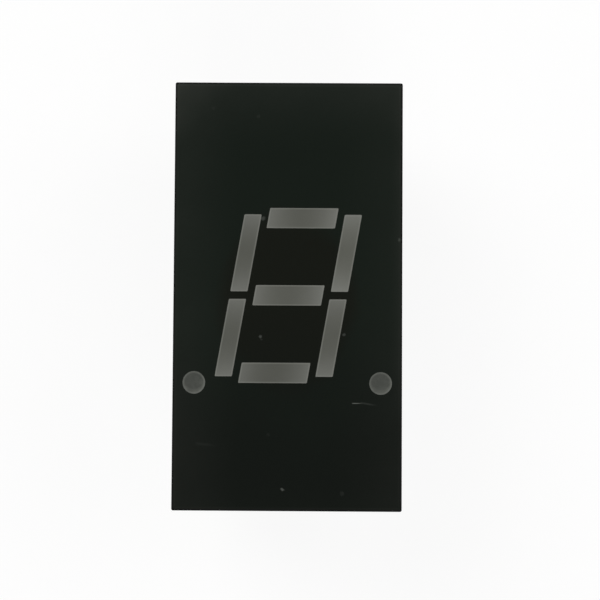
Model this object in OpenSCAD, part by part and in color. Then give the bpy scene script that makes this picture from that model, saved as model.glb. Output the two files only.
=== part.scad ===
// Single-character seven-segment LED display with left and right decimal points,
// on a dual-in-line footprint. +Z points out of the face, +Y to the top of the
// character, and z = 0 is the seating plane, at the centre of the leads' pattern.

/* [Housing] */
// Width of the face
body_w = 10.16; // [9:0.02:13]
// Length of the face, along the character's height
body_l = 19.05; // [17:0.05:25]
// Height of the face above the seating plane
body_h = 6.35; // [5.4:0.05:9]
// Thickness of the long side walls at the rear rim
side_wall = 0.55; // [0.4:0.01:0.6]
// Thickness of the end walls at the rear rim
end_wall = 0.8; // [0.5:0.05:1.2]
// How far each outer wall draws in from the face to the rear rim
outer_draft = 0.05; // [0:0.01:0.08]
// How far each inner wall opens out from the reflector to the rear rim
inner_draft = 0.03; // [0:0.01:0.06]
// Radius of the upright corners
corner_r = 0.08; // [0.05:0.01:0.4]
// Chamfer round the edge of the face
edge_chamfer = 0.08; // [0.02:0.01:0.2]
// Gap that the feet keep between the rear rim and the board the display is soldered to
standoff = 0.4; // [0.2:0.05:0.6]
// Width of each foot, one on each end wall
foot_w = 2; // [1:0.1:3]
// Diameter of the two pegs that locate the circuit board, in line with the end leads
peg_d = 0.9; // [0.6:0.05:1.2]
// Thickness of the face plate in front of the cored-out hollows
skin = 1; // [0.6:0.05:1.5]
// Wall left between a cored-out hollow and what lies beside it
core_wall = 0.5; // [0.3:0.05:0.7]
// How far each wall of a cored-out hollow draws in towards the face
core_draft = 0.12; // [0.02:0.01:0.2]
// Clearance round a soldered lead's pad in the rear of the reflector
well_side = 0.06; // [0.03:0.01:0.1]
// Clearance over a soldered lead in the rear of the reflector
well_roof = 0.1; // [0.05:0.01:0.2]

/* [Character] */
// Lean of the character to the right, in degrees
lean = 10; // [0:0.5:12]
// Distance of the character's centre to the right of the body's centre line
char_x = 0.03; // [-0.1:0.01:0.1]
// Length of the level bars
level_l = 3.04; // [2.6:0.02:3.2]
// Thickness of the level bars
level_t = 0.9; // [0.8:0.02:1]
// Length of the upright bars
upright_l = 3.43; // [3:0.01:3.8]
// Thickness of the upright bars
upright_t = 0.76; // [0.7:0.02:0.9]
// Distance between the centre lines of the left and right upright bars
column_gap = 4.46; // [4.2:0.02:4.7]
// Distance between the centre lines of two neighbouring level bars
row_gap = 3.44; // [3.3:0.02:3.7]
// Clear gap between an upper and a lower upright bar
upright_gap = 0.34; // [0.2:0.02:0.5]
// Radius of the bars' corners at the face
bar_r = 0.04; // [0.03:0.01:0.12]
// Diameter of each decimal point
point_d = 1; // [0.8:0.02:1.1]
// Distance from the centre of a decimal point to the side of the face next to it
point_edge = 0.95; // [0.8:0.01:1.1]
// Distance of the decimal points below the centre of the character
point_drop = 3.88; // [3.6:0.02:4.1]

/* [Light cavities] */
// Depth of the straight-walled mouth of each cavity
land = 0.3; // [0.1:0.05:0.6]
// How far each long side of a bar's cavity draws in between mouth and circuit board
side_taper = 0.12; // [0.05:0.01:0.16]
// How far each end of a bar's cavity draws in between mouth and circuit board
end_taper = 0.55; // [0.3:0.01:0.6]
// Radius of each end of a decimal point's cavity at the circuit board
point_r = 0.32; // [0.28:0.01:0.36]
// How far the die of a decimal point sits inboard of the point's centre
point_inset = 0.13; // [0.1:0.01:0.2]

/* [Leads] */
// Distance from a row of leads to the side of the face next to it
side_margin = 1.27; // [1.2:0.01:1.5]
// Distance from the end leads to the end of the face next to them
end_margin = 1.905; // [1.7:0.005:2.5]
// Diameter of the round lead wire
lead_d = 0.5; // [0.4:0.01:0.56]
// Length of a lead below the seating plane
lead_l = 4.06; // [3:0.01:20]
// Length of the tapered tip of a lead
tip_l = 0.15; // [0.05:0.01:0.4]
// Diameter of the flat end of a lead's tip
tip_d = 0.3; // [0.2:0.01:0.38]
// Side of the square that the wire is coined to above the seating plane
shank_w = 0.44; // [0.34:0.01:0.45]
// Length of the coined shank that stands out of the circuit board on the die side
shank_rise = 0.38; // [0.34:0.01:0.42]

/* [Circuit board] */
// Thickness of the laminate
board_t = 0.8; // [0.6:0.05:1]
// Clearance all round between the circuit board and the housing
board_clear = 0.05; // [0.02:0.01:0.08]
// Thickness of the plated copper tracks
copper_t = 0.05; // [0.03:0.005:0.07]
// Width of the tracks
track_w = 0.25; // [0.18:0.01:0.32]
// Length of a track that first clears a bond pad before it turns
escape_l = 1.2; // [1:0.05:1.4]
// Diameter of a drilled hole for a lead
hole_d = 0.76; // [0.72:0.01:0.82]
// Thickness of the plating in a drilled hole
plating_t = 0.03; // [0.02:0.005:0.04]
// Diameter of the copper pad round a hole
pad_d = 1.12; // [1:0.01:1.14]
// Height of a solder fillet on each face of the circuit board
fillet_h = 0.3; // [0.2:0.01:0.32]
// Ring of bare pad left round a solder fillet
fillet_inset = 0.04; // [0.02:0.01:0.08]
// Thickness of the solder round a shank at the narrow end of its fillet
solder_t = 0.02; // [0.01:0.005:0.03]
// Clearance round a locating peg in its hole
peg_clear = 0.05; // [0.03:0.01:0.1]

/* [Light-emitting dice] */
// Side of the square die
die_w = 0.3; // [0.24:0.01:0.34]
// Height of the die
die_h = 0.2; // [0.15:0.01:0.3]
// Side of the copper pad under a die
die_pad = 0.4; // [0.36:0.01:0.44]
// Distance from a bar's die to its bond pad
bar_reach = 0.65; // [0.6:0.01:0.7]
// Distance from a decimal point's die to its bond pad
point_reach = 0.56; // [0.5:0.01:0.6]
// Diameter of a round bond pad
bond_pad = 0.32; // [0.28:0.01:0.36]
// Diameter of the gold bond wire
wire_d = 0.04; // [0.03:0.005:0.05]
// Radius of the loop in which a bond wire leaves its die
loop_r = 0.1; // [0.06:0.01:0.14]
// Diameter of the ball that bonds the wire to the die
ball_d = 0.1; // [0.08:0.01:0.12]
// Height of the ball
ball_h = 0.03; // [0.02:0.005:0.05]
// Diameter of the stitch that bonds the wire to its pad
stitch_d = 0.14; // [0.1:0.01:0.18]
// Height of the stitch
stitch_h = 0.02; // [0.01:0.005:0.03]

/* [Rear casting] */
// Thickness of the resin behind the circuit board
cast_t = 0.98; // [0.6:0.02:1.6]
// Depth of the casting's surface inside the rear rim
cast_recess = 0.12; // [0.05:0.01:0.2]
// Height of the resin collar that creeps down each lead
collar_h = 0.2; // [0.1:0.01:0.24]
// Diameter of a resin collar at the casting's surface
collar_d = 1.1; // [0.9:0.01:1.2]

/* [Hidden] */
over = 0.5;            // how far a cutter runs past the surface that it opens
round_steps = 4;       // flats on each moulded quarter-round
point_steps = 12;      // flats on each quarter of a decimal point
wire_sides = 8;        // sides of a bond wire
loop_steps = 7;        // bends in a bond wire's loop
$fn = 48;

// Places in each row of the dual-in-line pattern, and the numbers of those that carry a lead
ROW_PLACES = 7;
LEADS = [1, 2, 3, 6, 7, 8, 9, 10, 11, 13, 14];
ANODE_LEADS = [3, 14];

// Heights above the seating plane
cast_z = standoff + cast_recess;         // rear surface of the casting
board_z = cast_z + cast_t;               // rear face of the circuit board
copper_z = board_z + board_t;            // die side of the circuit board
web_z = copper_z + copper_t;             // rear plane of the reflector block, on the copper
bond_z = web_z + die_h + ball_h;         // where a bond wire leaves its ball
land_z = body_h - land;                  // where the cavities begin to taper

// The leads' pattern in the body
lead_gap = body_w - 2 * side_margin;     // distance between the two rows
row_l = body_l - 2 * end_margin;         // distance between the end leads of a row
pitch = row_l / (ROW_PLACES - 1);        // distance between two neighbouring places

// Half the inside of the skirt where it meets the reflector block, and the board in it
inside_x = body_w / 2 - outer_draft - side_wall - inner_draft;
inside_y = body_l / 2 - outer_draft - end_wall - inner_draft;
board_w = 2 * (inside_x - board_clear);
board_l = 2 * (inside_y - board_clear);

bore_d = hole_d - 2 * plating_t;
fillet_d = pad_d - 2 * fillet_inset;             // wide end of a fillet, on its pad
solder_d = shank_w * sqrt(2) + 2 * solder_t;     // narrow end, just round the shank
well_d = pad_d + 2 * well_side;
well_h = shank_rise + well_roof;

upright_y = (upright_l + upright_gap) / 2;
point_x = body_w / 2 - point_edge;

// Each bar: name, centre in the upright character, size, direction of its bond pad, lead
BARS = [
    ["a", [char_x, row_gap], [level_l, level_t], 0, 1],
    ["b", [char_x + column_gap / 2, upright_y], [upright_t, upright_l], 270 - lean, 13],
    ["c", [char_x + column_gap / 2, -upright_y], [upright_t, upright_l], 90 - lean, 10],
    ["d", [char_x, -row_gap], [level_l, level_t], 0, 8],
    ["e", [char_x - column_gap / 2, -upright_y], [upright_t, upright_l], 90 - lean, 7],
    ["f", [char_x - column_gap / 2, upright_y], [upright_t, upright_l], 270 - lean, 2],
    ["g", [char_x, 0], [level_l, level_t], 180, 11]
];

// Each decimal point: name, side of the body, direction of its bond pad, lead
POINTS = [
    ["point_left", -1, 0, 6],
    ["point_right", 1, 180, 9]
];

LIGHTS = concat([for (b = BARS) light_of_bar(b)], [for (p = POINTS) light_of_point(p)]);

// ---- Outlines ----

function quarter(c, r, from) = [
    for (i = [0 : round_steps])
        let (t = from + 90 * i / round_steps)
            c + r * [cos(t), sin(t)]
];

function rounded_rect(w, l, r) = concat(
    quarter([w / 2 - r, l / 2 - r], r, 0),
    quarter([r - w / 2, l / 2 - r], r, 90),
    quarter([r - w / 2, r - l / 2], r, 180),
    quarter([w / 2 - r, r - l / 2], r, 270)
);

// Two equal rounds set apart along X; with both centres alike, a circle
function oval(left, right, y, r) = [
    for (i = [0.5 : 1 : 4 * point_steps])
        let (t = 90 * i / point_steps)
            [(cos(t) > 0 ? right : left) + r * cos(t), y + r * sin(t)]
];

function moved(points, by) = [for (p = points) p + by];
function leaning(points) = [for (p = points) [p[0] + p[1] * tan(lean), p[1]]];

// ---- Lights: a bar or a point, with its cavity, die, bond wire and lead ----

function bar_outline(b, size) = leaning(moved(rounded_rect(size[0], size[1], bar_r), b[1]));

function light_of_bar(b) =
    let (is_level = b[2][0] > b[2][1], inset = is_level ? [end_taper, side_taper] : [side_taper, end_taper])
        [b[0], leaning([b[1]])[0], b[3], bar_reach, b[4],
            bar_outline(b, b[2] - 2 * inset), bar_outline(b, b[2]), [0.37, 0.37, 0.35]];

function light_of_point(p) =
    let (mouth_x = p[1] * point_x, die_x = mouth_x - p[1] * point_inset, pad_x = die_x - p[1] * point_reach)
        [p[0], [die_x, -point_drop], p[2], point_reach, p[3],
            oval(min(die_x, pad_x), max(die_x, pad_x), -point_drop, point_r),
            oval(mouth_x, mouth_x, -point_drop, point_d / 2), [0.3, 0.3, 0.29]];

function die_place(light) = light[1];
function bond_turn(light) = light[2];
function bond_reach(light) = light[3];
function lead_of(light) = light[4];
function rear_outline(light) = light[5];
function mouth_outline(light) = light[6];
function resin_colour(light) = light[7];
function pipe_name(light) = len(light[0]) == 1 ? str("segment_", light[0]) : light[0];

function bond_place(light) =
    die_place(light) + bond_reach(light) * [cos(bond_turn(light)), sin(bond_turn(light))];
function bond_of(name) = [for (s = LIGHTS) if (s[0] == name) bond_place(s)][0];

// ---- Leads' places and the tracks' ways ----

// Places run down the left side and up the right side
function lead_at(n) = n <= ROW_PLACES
    ? [-lead_gap / 2, row_l / 2 - pitch * (n - 1)]
    : [lead_gap / 2, pitch * (n - 1 - ROW_PLACES) - row_l / 2];

// A track that runs straight first and ends in a diagonal
function elbow(p, q) =
    let (d = q - p, m = min(abs(d[0]), abs(d[1])))
        m < track_w / 2 ? [p, q] : [p, q - [sign(d[0]) * m, sign(d[1]) * m], q];

// The way of a signal track from its die to its lead; that of the lowest bar clears its bond pad
function signal_route(light) =
    light[0] == "d"
        ? concat([die_place(light)], elbow(die_place(light) - [0, escape_l], lead_at(lead_of(light))))
        : elbow(die_place(light), lead_at(lead_of(light)));

// The common track's trunk and branches
function anode_routes() =
    let (
        a = bond_of("a"), b = bond_of("b"), c = bond_of("c"), d = bond_of("d"),
        e = bond_of("e"), f = bond_of("f"), g = bond_of("g"),
        left = bond_of("point_left"), right = bond_of("point_right"), joint = [left[0], g[1]]
    ) [
        elbow(lead_at(ANODE_LEADS[0]), joint),
        [joint, left],
        [joint, g],
        [[f[0], g[1]], f],
        [[e[0], g[1]], e],
        [g, [g[0], b[1]], b],
        [[a[0], b[1]], a],
        elbow(a, lead_at(ANODE_LEADS[1])),
        [g, [g[0], c[1]], c],
        [[d[0], c[1]], d],
        elbow(d, right)
    ];

// ---- Shared shapes ----

// A closed solid through a stack of rings that have equal numbers of points
module closed_rings(rings) {
    n = len(rings[0]);
    m = len(rings);
    sides = [
        for (j = [0 : m - 2]) for (i = [0 : n - 1])
            [j * n + i, (j + 1) * n + i, (j + 1) * n + (i + 1) % n, j * n + (i + 1) % n]
    ];
    first_end = [for (i = [0 : n - 1]) i];
    last_end = [for (i = [n - 1 : -1 : 0]) (m - 1) * n + i];
    polyhedron([for (ring = rings) for (p = ring) p], concat([first_end], sides, [last_end]));
}

// The same through flat outlines, each given with its height
module loft(levels) {
    closed_rings([for (level = levels) [for (p = level[0]) [p[0], p[1], level[1]]]]);
}

// A round wire along a path in the XZ plane
module tube(path, d, sides) {
    last = len(path) - 1;
    closed_rings([
        for (i = [0 : last])
            let (
                way = path[min(i + 1, last)] - path[max(i - 1, 0)],
                across = [way[1], -way[0]] / norm(way)
            )
                [for (k = [0 : sides - 1])
                    let (t = 360 * (k + 0.5) / sides, x = d / 2 * sin(t))
                        [path[i][0] + x * across[0], d / 2 * cos(t), path[i][1] + x * across[1]]]
    ]);
}

module track_line(points) {
    for (i = [0 : len(points) - 2]) {
        d = points[i + 1] - points[i];
        translate(points[i])
            rotate(atan2(d[1], d[0]))
                translate([0, -track_w / 2])
                    square([norm(d), track_w]);
        translate(points[i]) circle(d = track_w);
        translate(points[i + 1]) circle(d = track_w);
    }
}

module at_leads(numbers = LEADS) {
    for (n = numbers) translate(lead_at(n)) children();
}

module at_pegs() {
    for (side = [-1, 1]) translate([0, side * row_l / 2]) children();
}

// The cavity of a bar or point, tapering from its mouth in the face to the circuit board
module cavity(light, past = 0) {
    loft([
        [rear_outline(light), copper_z - past],
        [rear_outline(light), web_z],
        [mouth_outline(light), land_z],
        [mouth_outline(light), body_h + past]
    ]);
}

// The inside of the skirt behind the reflector block
module skirt_space() {
    low = inner_draft * (web_z + over) / (web_z - standoff);
    loft([
        [rounded_rect(2 * (inside_x + low), 2 * (inside_y + low), corner_r), -over],
        [rounded_rect(2 * inside_x, 2 * inside_y, corner_r), web_z]
    ]);
}

module board_outline() {
    polygon(rounded_rect(board_w, board_l, corner_r));
}

// ---- Housing ----

module outer_block() {
    rear_inset = 2 * outer_draft;
    face_inset = 2 * edge_chamfer;
    loft([
        [rounded_rect(body_w - rear_inset, body_l - rear_inset, corner_r), 0],
        [rounded_rect(body_w, body_l, corner_r), body_h - edge_chamfer],
        [rounded_rect(body_w - face_inset, body_l - face_inset, corner_r), body_h]
    ]);
}

// Hollow moulded into the rear of the reflector block to keep its walls even
module core(centre, w, l, tilted) {
    mouth = moved(rounded_rect(w, l, bar_r), centre);
    floor_end = moved(rounded_rect(w - 2 * core_draft, l - 2 * core_draft, bar_r), centre);
    loft([
        [tilted ? leaning(mouth) : mouth, web_z - over],
        [tilted ? leaning(mouth) : mouth, web_z],
        [tilted ? leaning(floor_end) : floor_end, body_h - skin]
    ]);
}

module cores() {
    beside_bar = level_t / 2 + core_wall;
    end_near = row_gap + beside_bar;
    end_far = (row_l - peg_d) / 2 - core_wall;
    end_w = lead_gap - well_d - 2 * core_wall;
    window_w = column_gap - upright_t - 2 * core_wall;
    window_l = row_gap - 2 * beside_bar;
    for (side = [-1, 1]) {
        core([0, side * (end_near + end_far) / 2], end_w, end_far - end_near, false);
        core([char_x, side * row_gap / 2], window_w, window_l, true);
    }
}

// What is cut off the skirt to leave two feet, one on each end wall
module rim_gap() {
    difference() {
        translate([-body_w, -body_l, -over]) cube([2 * body_w, 2 * body_l, over + standoff]);
        translate([-foot_w / 2, -body_l, -over]) cube([foot_w, 2 * body_l, 2 * over + standoff]);
    }
}

module housing() color([0.11, 0.115, 0.1]) {
    difference() {
        outer_block();
        skirt_space();
        for (s = LIGHTS) cavity(s, over);
        cores();
        at_leads() translate([0, 0, web_z - over]) cylinder(d = well_d, h = over + well_h);
        rim_gap();
    }
    at_pegs() translate([0, 0, board_z]) cylinder(d = peg_d, h = web_z - board_z);
}

// ---- Cast light pipes ----

module light_pipe(light) color(resin_colour(light)) difference() {
    cavity(light);
    signal_copper(light);
    anode_copper();
    die_block(light);
    wire_loop(light);
}

// ---- Circuit board and tracks ----

module circuit_board() color([0.2, 0.36, 0.22]) difference() {
    translate([0, 0, board_z]) linear_extrude(board_t) board_outline();
    at_leads() translate([0, 0, board_z - over]) cylinder(d = hole_d, h = board_t + 2 * over);
    at_pegs() translate([0, 0, board_z - over]) cylinder(d = peg_d + 2 * peg_clear, h = board_t + 2 * over);
}

// One net: tracks and pads on the die side, plated holes, and rings on the rear side
module net(leads) {
    difference() {
        union() {
            translate([0, 0, copper_z]) linear_extrude(copper_t) {
                children();
                at_leads(leads) circle(d = pad_d);
            }
            at_leads(leads) translate([0, 0, board_z - copper_t]) {
                cylinder(d = hole_d, h = board_t + 2 * copper_t);
                cylinder(d = pad_d, h = copper_t);
            }
        }
        at_leads(leads) translate([0, 0, board_z - over]) cylinder(d = bore_d, h = board_t + 2 * over);
    }
}

module signal_copper(light) net([lead_of(light)]) {
    track_line(signal_route(light));
    translate(die_place(light)) rotate(bond_turn(light)) square(die_pad, center = true);
}

module anode_copper() net(ANODE_LEADS) {
    for (r = anode_routes()) track_line(r);
    for (s = LIGHTS) translate(bond_place(s)) circle(d = bond_pad);
}

module track(light) color([0.8, 0.65, 0.35]) signal_copper(light);
module track_anode() color([0.8, 0.65, 0.35]) anode_copper();

// ---- Leads and solder ----

module lead(n) color([0.75, 0.75, 0.73]) translate(lead_at(n)) {
    translate([0, 0, -lead_l]) cylinder(d1 = tip_d, d2 = lead_d, h = tip_l);
    translate([0, 0, tip_l - lead_l]) cylinder(d = lead_d, h = lead_l - tip_l);
    shank();
}

module shank() {
    translate([-shank_w / 2, -shank_w / 2, 0]) cube([shank_w, shank_w, web_z + shank_rise]);
}

module rear_fillet() {
    translate([0, 0, board_z - copper_t - fillet_h]) cylinder(d1 = solder_d, d2 = fillet_d, h = fillet_h);
}

module solder_joints() color([0.66, 0.67, 0.68]) at_leads() difference() {
    union() {
        translate([0, 0, web_z]) cylinder(d1 = fillet_d, d2 = solder_d, h = fillet_h);
        translate([0, 0, board_z - copper_t]) cylinder(d = bore_d, h = board_t + 2 * copper_t);
        rear_fillet();
    }
    shank();
}

// ---- Dice and bond wires ----

module die_block(light) {
    translate([die_place(light)[0], die_place(light)[1], web_z])
        rotate(bond_turn(light))
            translate([-die_w / 2, -die_w / 2, 0])
                cube([die_w, die_w, die_h]);
}

// The path of a bond wire: out of its ball, round a tight loop, down a long slope, flat on its pad
function wire_path(gap) =
    let (
        flat_z = web_z + wire_d / 2 * cos(180 / wire_sides),
        landing = [gap - stitch_d / 3, flat_z],
        from_hub = landing - [loop_r, bond_z],
        swing = 90 - atan2(from_hub[1], from_hub[0]) + asin(loop_r / norm(from_hub))
    )
        concat(
            [[0, bond_z - ball_h / 2]],
            [for (i = [0 : loop_steps])
                let (t = swing * i / loop_steps)
                    [loop_r - loop_r * cos(t), bond_z + loop_r * sin(t)]],
            [landing, [gap + stitch_d / 4, flat_z]]
        );

module wire_loop(light) {
    translate(die_place(light)) rotate(bond_turn(light)) {
        translate([0, 0, web_z + die_h]) cylinder(d = ball_d, h = ball_h);
        tube(wire_path(bond_reach(light)), wire_d, wire_sides);
        translate([bond_reach(light), 0, web_z]) cylinder(d = stitch_d, h = stitch_h);
    }
}

module die(light) color([0.35, 0.3, 0.3]) die_block(light);
module wire(light) color([0.95, 0.78, 0.35]) wire_loop(light);

// ---- Rear casting ----

module rear_casting() color([0.45, 0.44, 0.4]) difference() {
    union() {
        intersection() {
            skirt_space();
            translate([-body_w, -body_l, cast_z]) cube([2 * body_w, 2 * body_l, copper_z - cast_z]);
        }
        at_leads() translate([0, 0, cast_z - collar_h]) cylinder(d1 = solder_d, d2 = collar_d, h = collar_h);
    }
    translate([0, 0, board_z]) linear_extrude(board_t + over) board_outline();
    at_leads() {
        shank();
        translate([0, 0, board_z - copper_t]) cylinder(d = pad_d, h = copper_t + over);
        rear_fillet();
    }
}

housing();
for (s = LIGHTS) {
    light_pipe(s);
    track(s);
    die(s);
    wire(s);
}
circuit_board();
track_anode();
for (n = LEADS) {
    lead(n);
}
solder_joints();
rear_casting();
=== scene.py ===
# %% [markdown]
# # A single-character seven-segment display
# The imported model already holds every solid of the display, so this lesson is about finish:
# a black housing with a screen-printed face, nine windows of cast resin, tinned leads and a
# grey potting resin behind. It also adds the one thin shape that a solid model leaves out, and
# ends with a small studio. All lengths in the scene are metres, and the display is 19 mm long.

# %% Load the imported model
import math

import bmesh
import bpy
from mathutils import Euler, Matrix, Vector


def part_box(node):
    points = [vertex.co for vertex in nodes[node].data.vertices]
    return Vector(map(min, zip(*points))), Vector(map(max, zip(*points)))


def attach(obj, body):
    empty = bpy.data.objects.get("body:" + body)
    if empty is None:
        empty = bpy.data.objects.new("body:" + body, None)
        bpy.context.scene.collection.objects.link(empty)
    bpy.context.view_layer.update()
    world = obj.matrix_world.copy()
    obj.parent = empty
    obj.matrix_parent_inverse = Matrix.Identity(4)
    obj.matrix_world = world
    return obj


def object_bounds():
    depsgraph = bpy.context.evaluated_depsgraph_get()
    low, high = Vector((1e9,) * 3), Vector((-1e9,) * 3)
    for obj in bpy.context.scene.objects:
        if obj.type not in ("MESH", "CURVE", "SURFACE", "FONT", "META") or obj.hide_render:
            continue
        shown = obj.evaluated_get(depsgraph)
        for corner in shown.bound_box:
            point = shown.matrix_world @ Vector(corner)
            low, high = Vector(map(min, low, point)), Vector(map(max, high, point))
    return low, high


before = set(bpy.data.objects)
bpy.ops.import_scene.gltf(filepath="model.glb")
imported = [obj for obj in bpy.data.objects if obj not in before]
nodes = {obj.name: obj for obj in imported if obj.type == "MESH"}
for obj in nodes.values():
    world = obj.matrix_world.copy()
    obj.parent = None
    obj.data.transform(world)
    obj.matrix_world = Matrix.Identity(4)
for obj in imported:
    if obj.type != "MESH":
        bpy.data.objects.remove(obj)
cad_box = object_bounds()
box_in_mm = [tuple(round(1000 * x, 2) for x in corner) for corner in cad_box]
print("nodes:", len(nodes), "box in mm:", box_in_mm)

# %% [markdown]
# ## The sizes that the finishes need
# A finish that follows a shape, such as a lighter rim round a window, has to know where the
# shape is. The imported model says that: a node's box gives its place and size. Only the lean of
# the character isn't in a box, because a leaning bar and a wide one can have the same box.

# %% Read the sizes of the face
MM = 0.001
LEAN = math.tan(math.radians(10))

housing_low, housing_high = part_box("housing")
face_z = housing_high.z / MM
face_half_w = (housing_high.x - housing_low.x) / 2 / MM
face_half_l = (housing_high.y - housing_low.y) / 2 / MM
print(f"face: {2 * face_half_w:.2f} by {2 * face_half_l:.2f} mm, {face_z:.2f} mm over the seating plane")


# %% [markdown]
# ## Arithmetic on a surface
# In the shader editor a sum is a Math node, and a finish with wear and edges needs dozens of
# them, so that the graph soon hides what it works out. A small class can wrap a node's socket and
# overload Python's operators instead. `1 - rim * 0.4` then reads as a sum and adds two nodes.
# The reflected forms, such as `__rsub__`, are what let a plain number stand on the left.

# %% A value that changes over a surface
class Value:
    """One output socket of a node tree. Arithmetic on it adds Math nodes."""

    def __init__(self, graph, socket):
        self.graph = graph
        self.socket = socket

    def beside(self, name):
        """Another output of the same node."""
        return Value(self.graph, self.socket.node.outputs[name])

    def math(self, operation, *terms):
        return self.graph.add("Math", {"operation": operation}, dict(enumerate(terms)))

    def __add__(self, other):
        return self.math("ADD", self, other)

    def __radd__(self, other):
        return self.math("ADD", other, self)

    def __sub__(self, other):
        return self.math("SUBTRACT", self, other)

    def __rsub__(self, other):
        return self.math("SUBTRACT", other, self)

    def __mul__(self, other):
        return self.math("MULTIPLY", self, other)

    def __rmul__(self, other):
        return self.math("MULTIPLY", other, self)

    def __truediv__(self, other):
        return self.math("DIVIDE", self, other)

    def __rtruediv__(self, other):
        return self.math("DIVIDE", other, self)

    def __pow__(self, other):
        return self.math("POWER", self, other)

    def __rpow__(self, other):
        return self.math("POWER", other, self)

    def __abs__(self):
        return self.math("ABSOLUTE", self)

    def sine(self):
        return self.math("SINE", self)

    def least(self, other):
        return self.math("MINIMUM", self, other)

    def most(self, other):
        return self.math("MAXIMUM", self, other)

    def ease(self, start, end):
        """0 at start, 1 at end, and smooth between them; start may be the larger."""
        settings = {"interpolation_type": "SMOOTHSTEP"}
        return self.graph.add("MapRange", settings, {"Value": self, "From Min": start, "From Max": end})


# %% [markdown]
# ## One way to add a node
# A material and the world both have a node tree, so one class serves both. Every node comes from
# its one method `add`, which sets the node's settings first, because some of them change its
# sockets, and then feeds the sockets with numbers or links. The short methods below it name the
# few nodes that nearly every finish uses. A place is given in millimetres, because the scale of a
# noise then says how many clouds or grains of it fit in a millimetre.

# %% A node tree under construction
class Graph:
    """The node tree of a material or of the world."""

    def __init__(self, owner, output):
        owner.use_nodes = True
        self.tree = owner.node_tree
        self.tree.nodes.clear()
        self.output = self.tree.nodes.new(output)

    def add(self, kind, settings, sockets, output=0):
        """A node of this kind, as the value of one of its outputs."""
        node = self.tree.nodes.new("ShaderNode" + kind)
        for name, setting in settings.items():
            setattr(node, name, setting)
        for name, fed in sockets.items():
            self.feed(node.inputs[name], fed)
        return Value(self, node.outputs[output])

    def feed(self, socket, fed):
        if isinstance(fed, Value):
            self.tree.links.new(fed.socket, socket)
        else:
            socket.default_value = fed

    def show(self, surface):
        self.feed(self.output.inputs["Surface"], surface)

    def place(self, centre=(0, 0, 0)):
        """The place on the piece, in millimetres from a centre that is given in metres."""
        on_object = self.add("TexCoord", {}, {}, "Object")
        sockets = {"Vector": on_object, "Location": centre, "Scale": (MM,) * 3}
        return self.add("Mapping", {"vector_type": "TEXTURE"}, sockets)

    def split(self, vector):
        """The x, y and z of a place or a direction."""
        x = self.add("SeparateXYZ", {}, {0: vector}, "X")
        return x, x.beside("Y"), x.beside("Z")

    def facing_up(self):
        """1 where the surface faces up, 0 on a wall and -1 where it faces down."""
        return self.split(self.add("TexCoord", {}, {}, "Normal"))[2]

    def stretch(self, place, factors):
        return self.add("VectorMath", {"operation": "MULTIPLY"}, {0: place, 1: factors})

    def noise(self, place, per_mm, detail=2, roughness=0.5):
        sockets = {"Vector": place, "Scale": per_mm, "Detail": detail, "Roughness": roughness}
        return self.add("TexNoise", {}, sockets)

    def mix(self, amount, first, second):
        """A colour from first to second. A Math node would turn the colours grey."""
        sockets = {0: amount, 6: first, 7: second}
        return self.add("Mix", {"data_type": "RGBA"}, sockets, 2)

    def bump(self, height):
        """A normal from a height in millimetres."""
        return self.add("Bump", {}, {"Height": height, "Distance": MM})


# %% [markdown]
# ## One class for every finish
# A finish is a Principled shader and the nodes that feed it. What is the same all over a piece is
# set on the shader's own socket. What changes over it feeds only colour, roughness, metal, the
# clear coat or the normal, which are the things that a baked texture can carry.

# %% A finish under construction
PAINTABLE = ("Base Color", "Roughness", "Metallic", "Coat Weight", "Normal")


class Finish(Graph):
    """A procedural material for one kind of surface."""

    def __init__(self, name, **constants):
        self.material = bpy.data.materials.new(name)
        super().__init__(self.material, "ShaderNodeOutputMaterial")
        self.shader = self.tree.nodes.new("ShaderNodeBsdfPrincipled")
        self.surface = Value(self, self.shader.outputs[0])
        self.show(self.surface)
        for socket, number in constants.items():
            self.shader.inputs[socket.replace("_", " ")].default_value = number

    def paint(self, **looks):
        """Feeds the shader with what changes over the surface."""
        for socket, fed in looks.items():
            socket = socket.replace("_", " ")
            assert socket in PAINTABLE, socket
            self.feed(self.shader.inputs[socket], fed)


def dress(names, finish):
    """Gives CAD nodes their finish, in the slots that they came with."""
    for name in names:
        for slot in nodes[name].material_slots:
            slot.material = finish.material
    print(f"{finish.material.name}: {len(finish.tree.nodes)} nodes on {len(names)} pieces")


# %% [markdown]
# ## Colours
# A colour picker shows colours in sRGB, but shaders count light, which is linear. One function
# turns the 0 to 255 values of a picker into light, so that every colour below can be read and
# changed as a painter would.

# %% Turn picked colours into light
def picked(red, green, blue):
    def light(value):
        value /= 255
        return value / 12.92 if value <= 0.04045 else ((value + 0.055) / 1.055) ** 2.4

    return (light(red), light(green), light(blue), 1)


print("half of a picker's white gives this share of its light:", round(picked(128, 128, 128)[0], 3))

# %% [markdown]
# ## Marks on the face
# The display has been handled: under the right-hand point is one bright scratch that trails off
# to the right, at the lower left a faint rub, and here and there a fleck of dust. Each mark is a
# small mask, which is 1 on the mark and 0 elsewhere. A painted texture could hold them too, but
# masks stay sharp at any size, and each can be moved by its own two numbers.

# %% Masks for scratches and flecks
# Each scratch: where it starts and ends on the face and its width, in millimetres, and its strength
SCRATCHES = [
    ((2.88, -4.765), (3.34, -4.765), 0.032, 0.42),
    ((3.25, -4.74), (4.04, -4.86), 0.06, 0.07),
    ((-4.0, -6.57), (-3.0, -6.68), 0.1, 0.02),
]
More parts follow.
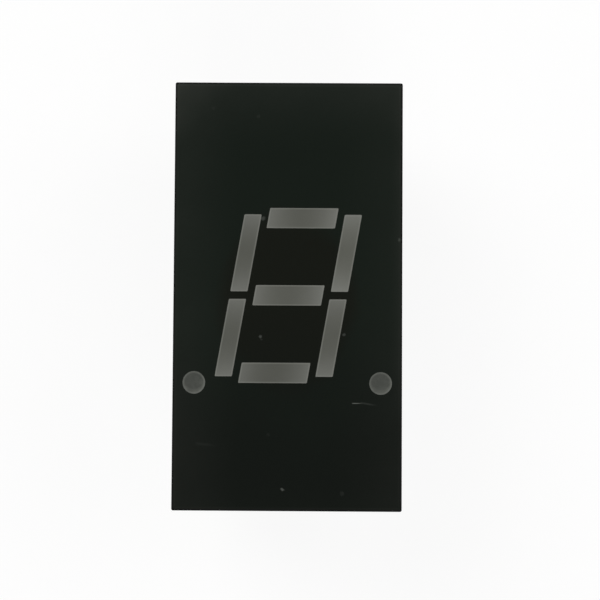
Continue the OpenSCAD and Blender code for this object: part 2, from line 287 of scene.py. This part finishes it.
# Each fleck: its centre on the face and its radius, in millimetres, and its strength
FLECKS = [
    ((-1.2, -1.83), 0.1, 0.16),
    ((-1.16, -1.98), 0.06, 0.06),
    ((2.5, -1.72), 0.09, 0.12),
    ((-0.19, -8.57), 0.1, 0.22),
    ((2.45, -8.74), 0.13, 0.03),
    ((-0.82, -6.16), 0.1, 0.02),
    ((-1.36, 7.99), 0.12, 0.025),
    ((-3.37, 8.35), 0.12, 0.018),
    ((4.94, 2.5), 0.09, 0.12),
    ((-1.11, 3.42), 0.13, 0.13),
]
SHAKE = 0.14                 # how far the outline of a fleck is shaken to and fro, in mm
SHAKES_PER_MM = 9


def stroke(x, y, start, end, width):
    """A thin line that is brightest near its start and fades towards its end."""
    run = Vector(end) - Vector(start)
    length = run.length
    run /= length
    along = (x - start[0]) * run.x + (y - start[1]) * run.y
    across = (y - start[1]) * run.x - (x - start[0]) * run.y
    return abs(across).ease(width, 0) * along.ease(-width, width) * along.ease(length, length * 0.4)


def fleck(finish, place, centre, radius):
    """A spot, as ragged as the place that it is given."""
    sockets = {0: place, 1: (*centre, 0)}
    away = finish.add("VectorMath", {"operation": "DISTANCE"}, sockets, "Value")
    return away.ease(radius, radius * 0.3)


def marks_on_face(finish, place, x, y):
    """Every scratch and fleck. The place is shaken a little, so that no fleck is a perfect disc."""
    flat = finish.stretch(place, (1, 1, 0))
    shake = finish.noise(flat, SHAKES_PER_MM).beside("Color")
    reach = {0: shake, 1: (SHAKE, SHAKE, 0), 2: flat}
    shaken = finish.add("VectorMath", {"operation": "MULTIPLY_ADD"}, reach)
    middle = {0: shaken, 1: (SHAKE / 2, SHAKE / 2, 0)}
    shaken = finish.add("VectorMath", {"operation": "SUBTRACT"}, middle)
    masks = [stroke(x, y, start, end, width) * strength for start, end, width, strength in SCRATCHES]
    masks += [fleck(finish, shaken, centre, radius) * strength for centre, radius, strength in FLECKS]
    marks = masks[0]
    for mask in masks[1:]:
        marks = marks + mask
    return marks.least(1)


print(len(SCRATCHES), "strokes and", len(FLECKS), "flecks")

# %% [markdown]
# ## The printed ink
# The face is screen-printed with matt black ink. It is slightly green, with a warmer cloud round
# the character, and it gets a little darker towards the lower end. A painted sheen makes it greyer
# along the sides and the upper end, most of all in the corner by the first lead and in a narrow
# strip on the right, and a painted highlight runs in a thin line inside the border. Distances from
# the border drive all of that, so it keeps to the border whatever the size of the face.

# %% Mix the ink
INK_COOL = picked(16, 22, 17)
INK_WARM = picked(16, 18, 13)
INK_LOW = picked(13, 16, 13)
# the lighter colour of the painted sheen on the ink
INK_SHEEN = picked(90, 90, 86)
INK_MARKED = picked(128, 132, 126)
WARM_CLOUD_Y = -0.3          # the middle of the warm cloud, in mm from the middle of the face
WARM_CLOUD_HALF = (3.33, 4.55)   # how far it reaches across and along the face, in mm
LOW_INK_FADE = (3, -5)       # from where to where along the face the darker ink comes in, in mm
# The painted sheen starts at the first distance inside a border and would be full at the second, in mm
SHEEN_REACH = (3.2, -0.4)
END_SHEEN_REACH = (1.6, -0.4)
STRIP_REACH = (0.6, 0)
STRIP_FADE = (-6.5, -2)      # from where to where along the face the strip on the right comes in, in mm
CORNER_SHEEN_REACH = (6.4, 0)
# how strongly the painted sheen lightens the borders and the corner
SHEEN_STRENGTH = 0.04
CORNER_SHEEN_STRENGTH = 0.09
EDGE_HIGHLIGHT = 0.14             # how far the line of painted highlight lies inside the border of the face, in mm
EDGE_HIGHLIGHT_WIDTH = 0.07


def inside_border(x, y):
    """How far a place lies inside the nearer side and the nearer end of the face, in mm."""
    return face_half_w - abs(x), face_half_l - abs(y)


def fresh_ink(finish, place, x, y):
    """The ink's own colour, without the painted sheen and the marks."""
    half_w, half_l = WARM_CLOUD_HALF
    clouds = finish.noise(place, per_mm=0.22, detail=3)
    round_character = ((x / half_w) ** 2 + ((y - WARM_CLOUD_Y) / half_l) ** 2).ease(1.3, 0.3)
    ink = finish.mix((round_character + clouds - 0.5).ease(0.2, 0.8), INK_COOL, INK_WARM)
    return finish.mix((y + clouds * 6).ease(*LOW_INK_FADE) * 0.85, ink, INK_LOW)


def painted_sheen(finish, place, x, y):
    """How much a painted sheen lightens the ink towards its borders, with a painted highlight in a line
    inside them.
    """
    to_side, to_end = inside_border(x, y)
    to_upper_end = face_half_l - y
    long_sides = to_side.ease(*SHEEN_REACH) * (1 - x.ease(1, 4) * 0.35)
    ends = to_upper_end.ease(*SHEEN_REACH) + to_end.ease(*END_SHEEN_REACH) * 0.15
    right_strip = (face_half_w - x).ease(*STRIP_REACH) * y.ease(*STRIP_FADE) * 0.7
    first_corner = (to_side + to_upper_end * 2 + (face_half_w + x)).ease(*CORNER_SHEEN_REACH)
    # Painted highlight: a thin lighter line inside the border, strongest at the upper end
    from_line = abs(to_side.least(to_end) - EDGE_HIGHLIGHT)
    edge_highlight = from_line.ease(EDGE_HIGHLIGHT_WIDTH, 0) * (0.4 + y.ease(8.5, 9.3) * 0.6)
    uneven = finish.noise(place, per_mm=0.5, detail=4) + 0.5
    borders = long_sides + ends + right_strip + edge_highlight
    return (borders * SHEEN_STRENGTH + first_corner * CORNER_SHEEN_STRENGTH) * uneven


# %% [markdown]
# ## The housing
# The housing is moulded in black plastic, so one piece shows two finishes: ink on the face and
# bare plastic on the walls. Splitting the mesh would give each its own material, but the mesh
# belongs to the CAD model. A mask from the surface's own direction and height does it instead:
# what faces up at the top is printed, and the rest is bare. The walls keep a little of the sheen
# of the mould, with the faint drag lines that it leaves along the way it opens and thin scuffs on
# the corners and the rear rim. The chamfer round the face is painted darker than both, a painted
# shade where it turns away from the light.

# %% Finish the housing
PLASTIC = picked(23, 24, 23)
PLASTIC_DRAGGED = picked(26, 27, 26)
PLASTIC_SCUFFED = picked(96, 96, 92)
# the colour of the painted shade on the chamfer, darker than the ink and the plastic
CHAMFER_SHADE = picked(12, 13, 12)
# Where each mask fades in, in mm: depths below the face, heights above the seating plane, and
# distances inside a corner
INK_DEPTH = (0.3, 0.15)
CHAMFER_DEPTH = (0.12, 0.07)
REAR_RIM = (0.62, 0.4)
CORNER_SCUFFS = (0.16, 0.02)


def near_face(z, depths):
    """1 close to the plane of the face and 0 deeper down; it fades in between the two depths."""
    return z.ease(face_z - depths[0], face_z - depths[1])


def bare_plastic(finish, place, x, y, z):
    """The colour of the walls with the painted shade on the chamfer, and the masks of their drag lines,
    scuffs and chamfer.
    """
    to_side, to_end = inside_border(x, y)
    drag = finish.noise(finish.stretch(place, (1, 1, 0.06)), per_mm=6, detail=3)
    fine_scuffs = finish.noise(finish.stretch(place, (1, 1, 0.35)), per_mm=4, detail=5, roughness=0.65)
    corners = to_side.most(to_end).ease(*CORNER_SCUFFS)
    chamfer = near_face(z, CHAMFER_DEPTH)
    exposed = (corners + z.ease(*REAR_RIM) * 0.8).least(1) * (1 - chamfer)
    scuffed = fine_scuffs.ease(0.42, 0.72) * exposed
    plastic = finish.mix(drag.ease(0.3, 0.7), PLASTIC, PLASTIC_DRAGGED)
    # Painted shade: the chamfer is painted darker than the walls and the face
    plastic = finish.mix(chamfer, plastic, CHAMFER_SHADE)
    return finish.mix(scuffed * 0.16, plastic, PLASTIC_SCUFFED), drag, scuffed, chamfer


def housing_finish():
    finish = Finish("moulded_black", Specular_IOR_Level=0.04, Coat_Roughness=0.26)
    place = finish.place()
    x, y, z = finish.split(place)
    printed = finish.facing_up().ease(0.8, 0.95) * near_face(z, INK_DEPTH)
    bare = 1 - printed
    marks = marks_on_face(finish, place, x, y) * printed
    # Painted sheen: the ink is lightened towards the sides, the upper end and the corner by the first
    # lead
    ink = finish.mix(painted_sheen(finish, place, x, y), fresh_ink(finish, place, x, y), INK_SHEEN)
    ink = finish.mix(marks, ink, INK_MARKED)
    plastic, drag, scuffed, chamfer = bare_plastic(finish, place, x, y, z)

    grain = finish.noise(place, per_mm=14)
    peel = finish.noise(place, per_mm=2.2)
    texture = finish.noise(place, per_mm=9, detail=3)
    ink_height = grain * 0.004 + peel * 0.012 - marks * 0.01
    wall_height = drag * 0.003 + texture * 0.006
    finish.paint(
        Base_Color=finish.mix(printed, plastic, ink),
        Roughness=printed * (0.5 + grain * 0.14 - marks * 0.1) + bare * (0.34 + texture * 0.2),
        Coat_Weight=bare * (1 - chamfer) * (0.18 - scuffed * 0.15),
        Normal=finish.bump(printed * ink_height + bare * wall_height),
    )
    return finish


dress(["housing"], housing_finish())

# %% [markdown]
# ## The bars
# Each bar is the mouth of a tapered cavity, filled with clear resin that holds a white powder. The
# eye looks down into it: over the die, in the middle, the cavity is deepest and looks darkest, and
# towards the ends the sloping wall comes up under the surface and looks lighter. A thin bright
# line runs round the edge, where the wall meets the face. True scattering in a volume would show
# this too, but slowly and with grain, and a baked model would lose it. So the colour is worked
# out from the place in the window: how far along it, and how far from its edge.

# %% Finish the bars
RESIN_DEEP = (79, 80, 74)
RESIN_SHALLOW = (102, 103, 98)
RESIN_RIM = picked(118, 119, 113)
RIM = 0.075                  # width of the light line round a window, in mm
SINK = 0.006                 # how far the resin sinks below its edge as it cures, in mm
SINK_WIDTH = 0.25
LEVEL_BARS = ("a", "d", "g")
# How bright each bar is, because the powder never spreads quite evenly
BAR_BRIGHTNESS = {"a": 1, "b": 1.05, "c": 0.98, "d": 0.945, "e": 0.98, "f": 0.98, "g": 1}


def bar_finish(letter):
    finish = Finish("resin_bar_" + letter, Specular_IOR_Level=0.1)
    low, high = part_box("segment_" + letter)
    half_width, half_height = (high.x - low.x) / 2 / MM, (high.y - low.y) / 2 / MM
    x, y = finish.split(finish.place((low + high) / 2))[:2]
    upright_x = x - y * LEAN
    # The box is wider than the bar is across, by how far its lean shifts its top from its foot
    half_across = half_width - half_height * LEAN
    to_edge = (half_across - abs(upright_x)).least(half_height - abs(y))
    along = upright_x / half_across if letter in LEVEL_BARS else y / -half_height

    place = finish.place()
    powder = finish.noise(place, per_mm=1.3, detail=3)
    fine = finish.noise(place, per_mm=9)
    lighter = abs(along) ** 1.9 * 0.9 + along * 0.08 + powder * 0.16 + fine * 0.08 - 0.07
    deep, shallow = (picked(*(BAR_BRIGHTNESS[letter] * channel for channel in colour))
                     for colour in (RESIN_DEEP, RESIN_SHALLOW))
    body = finish.mix(lighter, deep, shallow)
    finish.paint(
        Base_Color=finish.mix(to_edge.ease(RIM, RIM * 0.3) * 0.45, body, RESIN_RIM),
        Roughness=0.42 + fine * 0.12 + powder * 0.06,
        Normal=finish.bump(powder * 0.008 + fine * 0.002 - to_edge.ease(0, SINK_WIDTH) * SINK),
    )
    return finish


for letter in BAR_BRIGHTNESS:
    dress(["segment_" + letter], bar_finish(letter))

# %% [markdown]
# ## The points
# The points are smaller and steeper, so less light comes back from them, and they look darker
# than the bars and cooler. A painted highlight runs round the rim of each, and a lighter crescent
# is painted inside it on the lower right, where the lamp lights the inner wall; clouds of powder
# vary both.

# %% Finish the points
POINT_CLEAR = picked(63, 65, 61)
# the painted light inside a point, also the colour of its clouds of powder
POINT_CLOUDED_AND_LIT = picked(80, 82, 77)
# the painted highlight round the rim of a point
POINT_RIM_HIGHLIGHT = picked(92, 94, 89)
POINT_SINK = 0.008


def point_finish(name):
    finish = Finish("resin_" + name, Specular_IOR_Level=0.1)
    low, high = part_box(name)
    radius = (high.y - low.y) / 2 / MM
    # The cavity reaches inboard under the face, so only its outer side is the side of the mouth
    mouth_x = high.x - radius * MM if high.x > 0 else low.x + radius * MM
    x, y = finish.split(finish.place((mouth_x, (low.y + high.y) / 2, 0)))[:2]
    from_centre = (x * x + y * y) ** 0.5

    place = finish.place()
    cloud = finish.noise(place, per_mm=5, detail=3).ease(0.35, 0.65)
    fine = finish.noise(place, per_mm=11)
    # Painted light: the lamp lights the inner wall on the lower right, so a crescent and the rim are
    # painted lighter there; clouds of powder vary both
    lit_lower_right = (x - y * 0.6).ease(-0.1, 0.6)
    crescent = ((x * x + (y - 0.15) ** 2) ** 0.5).ease(radius - 0.12, radius)
    painted_crescent = crescent * (0.4 + lit_lower_right * 0.3 + cloud * 0.3)
    clouds_and_light = (cloud * (0.15 + lit_lower_right * 0.45)).most(painted_crescent)
    rim_highlight = from_centre.ease(radius - 0.11, radius - 0.03) * (0.45 + lit_lower_right * 0.35 + cloud * 0.2)
    sunk = from_centre.ease(radius, radius - 0.2)
    finish.paint(
        Base_Color=finish.mix(rim_highlight, finish.mix(clouds_and_light, POINT_CLEAR, POINT_CLOUDED_AND_LIT), POINT_RIM_HIGHLIGHT),
        Roughness=0.4 + fine * 0.14,
        Normal=finish.bump(cloud * 0.006 + fine * 0.002 - sunk * POINT_SINK),
    )
    return finish


for name in ("point_left", "point_right"):
    dress([name], point_finish(name))

# %% [markdown]
# ## The potting resin
# The back of the display is closed with grey epoxy, poured in with the leads pointing up. It
# finds its own level, so it is smooth and glossy, clouded by its filler, and pitted here and
# there where an air bubble reached the surface and broke. A Voronoi texture gives every bubble
# its own cell, and only cells with a high random number get one.

# %% Finish the casting
CASTING_DARK = picked(112, 110, 103)
CASTING_PALE = picked(126, 123, 114)
FILLER_GRAIN = picked(150, 147, 138)
# the painted shade in the pit of a burst bubble
BUBBLE_PIT_SHADE = picked(58, 56, 52)
CELLS_PER_MM = 0.8
BUBBLE_LOTS = (0.72, 0.74)   # a cell whose random number is above these has a bubble


def casting_finish():
    finish = Finish("potting_resin")
    place = finish.place()
    clouds = finish.noise(place, per_mm=0.55, detail=4)
    filler = finish.noise(place, per_mm=12)
    colour = finish.mix(clouds.ease(0.3, 0.7), CASTING_DARK, CASTING_PALE)
    colour = finish.mix(filler.ease(0.55, 0.75) * 0.35, colour, FILLER_GRAIN)

    cells = {"Vector": finish.stretch(place, (1, 1, 0)), "Scale": CELLS_PER_MM, "Randomness": 1}
    away = finish.add("TexVoronoi", {}, cells, "Distance")
    lot, size_lot = finish.split(away.beside("Color"))[:2]
    chosen = lot.ease(*BUBBLE_LOTS)
    size = 0.03 + size_lot * size_lot * 0.09
    bubble = away.ease(size, size * 0.6) * chosen
    lip = away.ease(size * 1.6, size) * (1 - bubble) * chosen
    finish.paint(
        # Painted shade: each bubble's pit is painted darker than the resin round it
        Base_Color=finish.mix(bubble * 0.6, colour, BUBBLE_PIT_SHADE),
        Roughness=0.24 + clouds * 0.12 + bubble * 0.3,
        Normal=finish.bump(clouds * 0.03 + filler * 0.0015 - bubble * 0.05 + lip * 0.008),
    )
    return finish


casting_resin = casting_finish()
dress(["rear_casting"], casting_resin)

# %% [markdown]
# ## The leads
# The leads are copper-clad wire dipped in tin, and then clipped. Tin is bright but not a mirror:
# drawing the wire leaves fine lines along it, the dip leaves soft ripples, and handling dulls it
# in patches. The clipped end cuts through the tin, so a pinkish spot of copper shows there.
# A noise that is stretched along the wire makes the drawn lines. The solder round each lead, on
# the board inside, is the same metal with a coarser grain.

# %% Finish the leads and the solder
TIN_BRIGHT = picked(198, 198, 195)
TIN_DULL = picked(152, 151, 147)
COPPER_CORE = picked(184, 132, 106)
SOLDER_BRIGHT = picked(176, 177, 176)
SOLDER_DULL = picked(150, 150, 148)


def lead_finish():
    finish = Finish("tinned_wire")
    place = finish.place()
    z = finish.split(place)[2]
    tip_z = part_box("lead_1")[0].z / MM
    drawn = finish.noise(finish.stretch(place, (1, 1, 0.05)), per_mm=16)
    dip = finish.noise(finish.stretch(place, (1, 1, 0.3)), per_mm=3, detail=3)
    dull = dip.ease(0.42, 0.7)
    clipped = finish.facing_up().ease(-0.9, -0.98) * z.ease(tip_z + 0.02, tip_z)
    finish.paint(
        Base_Color=finish.mix(clipped, finish.mix(dull * 0.5, TIN_BRIGHT, TIN_DULL), COPPER_CORE),
        Metallic=1 - dull * 0.05,
        Roughness=0.12 + dull * 0.2 + drawn * 0.08,
        Normal=finish.bump(drawn * 0.006 + dip * 0.012),
    )
    return finish


def solder_finish():
    finish = Finish("soft_solder")
    grain = finish.noise(finish.place(), per_mm=5, detail=4)
    finish.paint(
        Base_Color=finish.mix(grain.ease(0.35, 0.65), SOLDER_BRIGHT, SOLDER_DULL),
        Metallic=0.95 - grain * 0.1,
        Roughness=0.3 + grain * 0.18,
        Normal=finish.bump(grain * 0.01),
    )
    return finish


def named(start):
    """The CAD nodes whose names start so."""
    return sorted(name for name in nodes if name.startswith(start))


dress(named("lead_"), lead_finish())
dress(["solder_joints"], solder_finish())

# %% [markdown]
# ## Inside the display
# The board, its tracks, the dice and their gold wires can't be seen in the finished display, but
# they are there for anyone who hides the housing. Glass cloth shows in bare laminate as a weave of
# pale threads, which two sine waves at right angles give. Plated copper is grainy, a die is
# dark and polished with sawn sides, and a bond wire is plain bright gold.

# %% Finish the board and its tracks
THREAD = 0.35                # from one thread of the glass cloth to the next, in mm
LAMINATE = picked(118, 124, 74)
LAMINATE_THREAD = picked(150, 154, 102)
LAMINATE_CLOUD = picked(96, 104, 62)
PLATING_PALE = picked(214, 178, 104)
PLATING_DARK = picked(188, 148, 84)


def laminate_finish():
    finish = Finish("glass_laminate")
    place = finish.place()
    x, y = finish.split(place)[:2]
    turn = 2 * math.pi / THREAD
    weave = (x * turn).sine() * (y * turn).sine()
    cloudy = finish.noise(place, per_mm=0.6, detail=3)
    colour = finish.mix(weave.ease(-1, 1) * 0.5, LAMINATE, LAMINATE_THREAD)
    finish.paint(
        Base_Color=finish.mix(cloudy * 0.3, colour, LAMINATE_CLOUD),
        Roughness=0.42 + weave * 0.06,
        Normal=finish.bump(weave * 0.004),
    )
    return finish


def plated_finish():
    finish = Finish("plated_copper")
    grain = finish.noise(finish.place(), per_mm=8, detail=3)
    finish.paint(
        Base_Color=finish.mix(grain.ease(0.3, 0.7), PLATING_PALE, PLATING_DARK),
        Metallic=0.96 - grain * 0.06,
        Roughness=0.3 + grain * 0.2,
        Normal=finish.bump(grain * 0.004),
    )
    return finish


dress(["circuit_board"], laminate_finish())
dress(named("track_"), plated_finish())

# %% Finish the dice and their wires
DIE_SAWN = picked(86, 66, 62)
DIE_POLISHED = picked(120, 96, 70)
GOLD_PALE = picked(255, 214, 120)
GOLD_DEEP = picked(236, 186, 92)


def die_finish():
    finish = Finish("sawn_die")
    sawn = finish.noise(finish.stretch(finish.place(), (1, 1, 9)), per_mm=9)
    polished = finish.facing_up().ease(0.7, 0.9)
    finish.paint(
        Base_Color=finish.mix(polished, DIE_SAWN, DIE_POLISHED),
        Metallic=0.5 + polished * 0.2,
        Roughness=0.55 - polished * 0.35 + sawn * 0.1,
        Normal=finish.bump(sawn * 0.003 * (1 - polished)),
    )
    return finish


def gold_finish():
    finish = Finish("gold_wire", Metallic=1)
    drawn = finish.noise(finish.place(), per_mm=30)
    finish.paint(
        Base_Color=finish.mix(drawn, GOLD_PALE, GOLD_DEEP),
        Roughness=0.16 + drawn * 0.12,
        Normal=finish.bump(drawn * 0.0008),
    )
    return finish


dress(named("die_"), die_finish())
dress(named("wire_"), gold_finish())

# %% [markdown]
# ## Where the resin climbs the walls
# Liquid resin wets plastic, so before it cured it crept a tenth of a millimetre up the walls of
# the housing, all the way round. The CAD model ends the casting in a flat surface. The creep is a
# closed ring with a hollow slope. A profile swept along a curve could make it, but one face takes
# fewer steps: inset it and keep only the border, thicken that, cut its slope into strips, and
# bend them. How far a point is from the wall says how high it climbs, so the mitred corners need
# no care of their own. The extrusion leaves its edges and faces in a new order on each run, so
# they are sorted at the end, and every run gives the same mesh.

# %% Model the creep of the potting resin
CREEP_WIDTH = 0.22 * MM
CREEP_RISE = 0.1 * MM
CREEP_ROOT = 0.04 * MM        # how deep the ring is rooted in the casting
CREEP_STRIPS = 5
CASTING_Z = 0.52 * MM         # the casting's flat rear surface; its box reaches down its collars


def put_in_order(bm):
    """Sort edges and faces by their corners."""
    bm.verts.index_update()
    for elements in (bm.edges, bm.faces):
        in_order = sorted(elements, key=lambda item: sorted(vert.index for vert in item.verts))
        elements.sort(key=in_order.index)


def resin_creep():
    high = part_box("rear_casting")[1]

    def from_wall(vert):
        return min(high.x - abs(vert.co.x), high.y - abs(vert.co.y))

    # One face the size of the casting, of which only the border stays
    bm = bmesh.new()
    bmesh.ops.create_grid(bm, x_segments=1, y_segments=1, size=1)
    bmesh.ops.scale(bm, vec=(high.x, high.y, 1), verts=bm.verts)
    bmesh.ops.translate(bm, vec=(0, 0, CASTING_Z + CREEP_ROOT), verts=bm.verts)
    middle = list(bm.faces)
    settings = {"thickness": CREEP_WIDTH, "use_even_offset": True, "use_boundary": True}
    border = bmesh.ops.inset_region(bm, faces=middle, **settings)["faces"]
    bmesh.ops.delete(bm, geom=middle, context="FACES_ONLY")

    # Thicken the border towards the rear
    added = bmesh.ops.extrude_face_region(bm, geom=border)["geom"]
    rear = [item for item in added if isinstance(item, bmesh.types.BMVert)]
    bmesh.ops.translate(bm, vec=(0, 0, -CREEP_ROOT), verts=rear)

    # Cut its rear side into strips by the four mitres, and bend them into a hollow slope
    mitres = [edge for edge in bm.edges if set(edge.verts) <= set(rear)
              and abs(from_wall(edge.verts[0]) - from_wall(edge.verts[1])) > CREEP_WIDTH / 2]
    bmesh.ops.subdivide_edges(bm, edges=mitres, cuts=CREEP_STRIPS - 1, use_grid_fill=True)
    for vert in bm.verts:
        if vert.co.z < CASTING_Z + CREEP_ROOT / 2:
            vert.co.z -= CREEP_RISE * (1 - from_wall(vert) / CREEP_WIDTH) ** 2
    bmesh.ops.recalc_face_normals(bm, faces=bm.faces)
    put_in_order(bm)
    closed = all(edge.is_manifold for edge in bm.edges)
    print(f"creep: {len(bm.faces)} faces, closed: {closed}, {bm.calc_volume() / MM ** 3:.3f} mm3")

    mesh = bpy.data.meshes.new("resin_creep")
    bm.to_mesh(mesh)
    bm.free()
    mesh.materials.append(casting_resin.material)
    piece = bpy.data.objects.new("resin_creep", mesh)
    bpy.context.scene.collection.objects.link(piece)
    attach(piece, "root")


resin_creep()

# %% [markdown]
# ## The floor
# The display stands on its leads on a white floor. Straight to the camera the floor is nearly
# pure white, with only a trace of the shadow under the display. What the leads and the resin
# mirror of it keeps more of that shadow, because a metal that mirrors nothing but white looks
# flat. Both shadows end well before the far edge of the floor, so no horizon shows behind the
# display. From below, the floor lets the light and the eye through.

# %% Lay the floor
FLOOR_SIZE = 0.8
PAPER_LOW = picked(236, 236, 235)
PAPER_HIGH = picked(243, 243, 242)
FLOOR_SHADOW = 0.12           # how much of the floor's look comes from the light that falls on it
MIRRORED_SHADOW = 0.85        # the same for what metal and glass show of the floor
SHADED_TO = (25, 90)          # the shadow is whole within the first and gone past the second, in mm
WHITE = (1, 1, 1, 1)


def looking_rays(graph):
    """Two masks: 1 where the camera looks, and 1 where a mirror or a glass does."""
    camera = graph.add("LightPath", {}, {}, "Is Camera Ray")
    return camera, camera.beside("Is Glossy Ray").most(camera.beside("Is Transmission Ray"))


def floor_finish():
    paper = Finish("floor_paper", Roughness=0.9, Specular_IOR_Level=0.1)
    place = paper.place()
    x, y = paper.split(place)[:2]
    fibres = paper.noise(place, per_mm=0.8, detail=3)
    paper.paint(Base_Color=paper.mix(fibres, PAPER_LOW, PAPER_HIGH))

    camera, mirror = looking_rays(paper)
    shaded = ((x * x + y * y) ** 0.5).ease(SHADED_TO[1], SHADED_TO[0])
    plain_white = (camera * (1 - shaded * FLOOR_SHADOW)).most(mirror * (1 - shaded * MIRRORED_SHADOW))
    glow = paper.add("Emission", {}, {"Color": WHITE, "Strength": 1})
    lit = paper.add("MixShader", {}, {0: plain_white, 1: paper.surface, 2: glow})
    under = paper.add("NewGeometry", {}, {}, "Backfacing")
    clear = paper.add("BsdfTransparent", {}, {})
    paper.show(paper.add("MixShader", {}, {0: under, 1: lit, 2: clear}))
    return paper


def lay_floor():
    bm = bmesh.new()
    bmesh.ops.create_grid(bm, x_segments=8, y_segments=8, size=FLOOR_SIZE / 2)
    bmesh.ops.translate(bm, vec=(0, 0, cad_box[0].z), verts=bm.verts)
    mesh = bpy.data.meshes.new("floor")
    bm.to_mesh(mesh)
    bm.free()
    mesh.materials.append(floor_finish().material)
    floor = bpy.data.objects.new("floor", mesh)
    bpy.context.scene.collection.objects.link(floor)
    print("floor at", round(cad_box[0].z / MM, 2), "mm")


lay_floor()

# %% [markdown]
# ## The sky
# The camera sees the sky as a white backdrop all round. What a glossy surface mirrors of it is
# different: the face is black, and a white ceiling mirrored in its ink would turn it grey to a
# camera right above. So a mirrored sky is white near the horizon and dim overhead, as in a studio.
# The height of a ray is the sine of its elevation, and the white fades out between two heights.
# All other surfaces get only the dim light, and the lamps do the rest.

# %% Light the sky
SKY_LIGHT = 0.22              # what the dim sky gives to every surface
BACKDROP_TOP = 0.5
CEILING = 0.85


def light_sky():
    world = bpy.data.worlds.new("studio")
    sky = Graph(world, "ShaderNodeOutputWorld")
    height = sky.split(sky.add("TexCoord", {}, {}, "Generated"))[2]
    camera, mirror = looking_rays(sky)
    backdrop = camera.most(mirror * height.ease(CEILING, BACKDROP_TOP))
    strength = SKY_LIGHT + backdrop * (1 - SKY_LIGHT)
    sky.show(sky.add("Background", {}, {"Color": WHITE, "Strength": strength}))
    bpy.context.scene.world = world
    print("sky:", len(sky.tree.nodes), "nodes")


light_sky()

# %% [markdown]
# ## The lamps
# Three square softboxes keep the light plain, so that a colour renders about as it was picked:
# the key on the upper left of the face, a fill on the right and one towards the viewer. All are
# far enough off the vertical to keep out of the mirror image that the face throws to a camera
# above it.

# %% Hang the softboxes
# Each softbox: its bearing and elevation in degrees, its distance and side in metres, its watts
SOFTBOXES = {
    "key": (135, 48, 0.34, 0.2, 0.72),
    "fill": (20, 40, 0.36, 0.24, 0.5),
    "front": (-80, 42, 0.36, 0.22, 0.5),
}


def hang_softboxes():
    middle = (cad_box[0] + cad_box[1]) / 2
    for name, (bearing, elevation, distance, side, watts) in SOFTBOXES.items():
        lamp = bpy.data.lights.new(name, "AREA")
        lamp.shape = "SQUARE"
        lamp.size = side
        lamp.energy = watts
        b, e = math.radians(bearing), math.radians(elevation)
        away = Vector((math.cos(b) * math.cos(e), math.sin(b) * math.cos(e), math.sin(e)))
        softbox = bpy.data.objects.new(name, lamp)
        softbox.location = middle + away * distance
        softbox.rotation_euler = away.to_track_quat("Z", "Y").to_euler()
        bpy.context.scene.collection.objects.link(softbox)
        print(name, [round(c, 3) for c in softbox.location])


hang_softboxes()

# %% [markdown]
# ## The camera
# The camera hangs close above the face, a little towards the bottom of the character, so the
# lower edge looks slightly wider than the upper one. Its sides can't be seen from there.

# %% Hang the camera
CAMERA_PLACE = (1.11 * MM, -4.46 * MM, 80 * MM)
CAMERA_TURN = (3.31, 0.42, 0.36)   # degrees about x, y and z
SENSOR = 36
LENS = 99.84
CLIPPING = (0.005, 10)             # nearest and farthest that the camera sees, in metres


def hang_camera():
    lens = bpy.data.cameras.new("camera")
    lens.sensor_width = SENSOR
    lens.lens = LENS
    lens.clip_start, lens.clip_end = CLIPPING
    camera = bpy.data.objects.new("camera", lens)
    camera.location = CAMERA_PLACE
    camera.rotation_euler = Euler([math.radians(t) for t in CAMERA_TURN], "XYZ")
    bpy.context.scene.collection.objects.link(camera)
    bpy.context.scene.camera = camera
    print(f"camera: sees {math.degrees(lens.angle):.1f} degrees across")


hang_camera()
bpy.context.scene.view_settings.view_transform = "Standard"
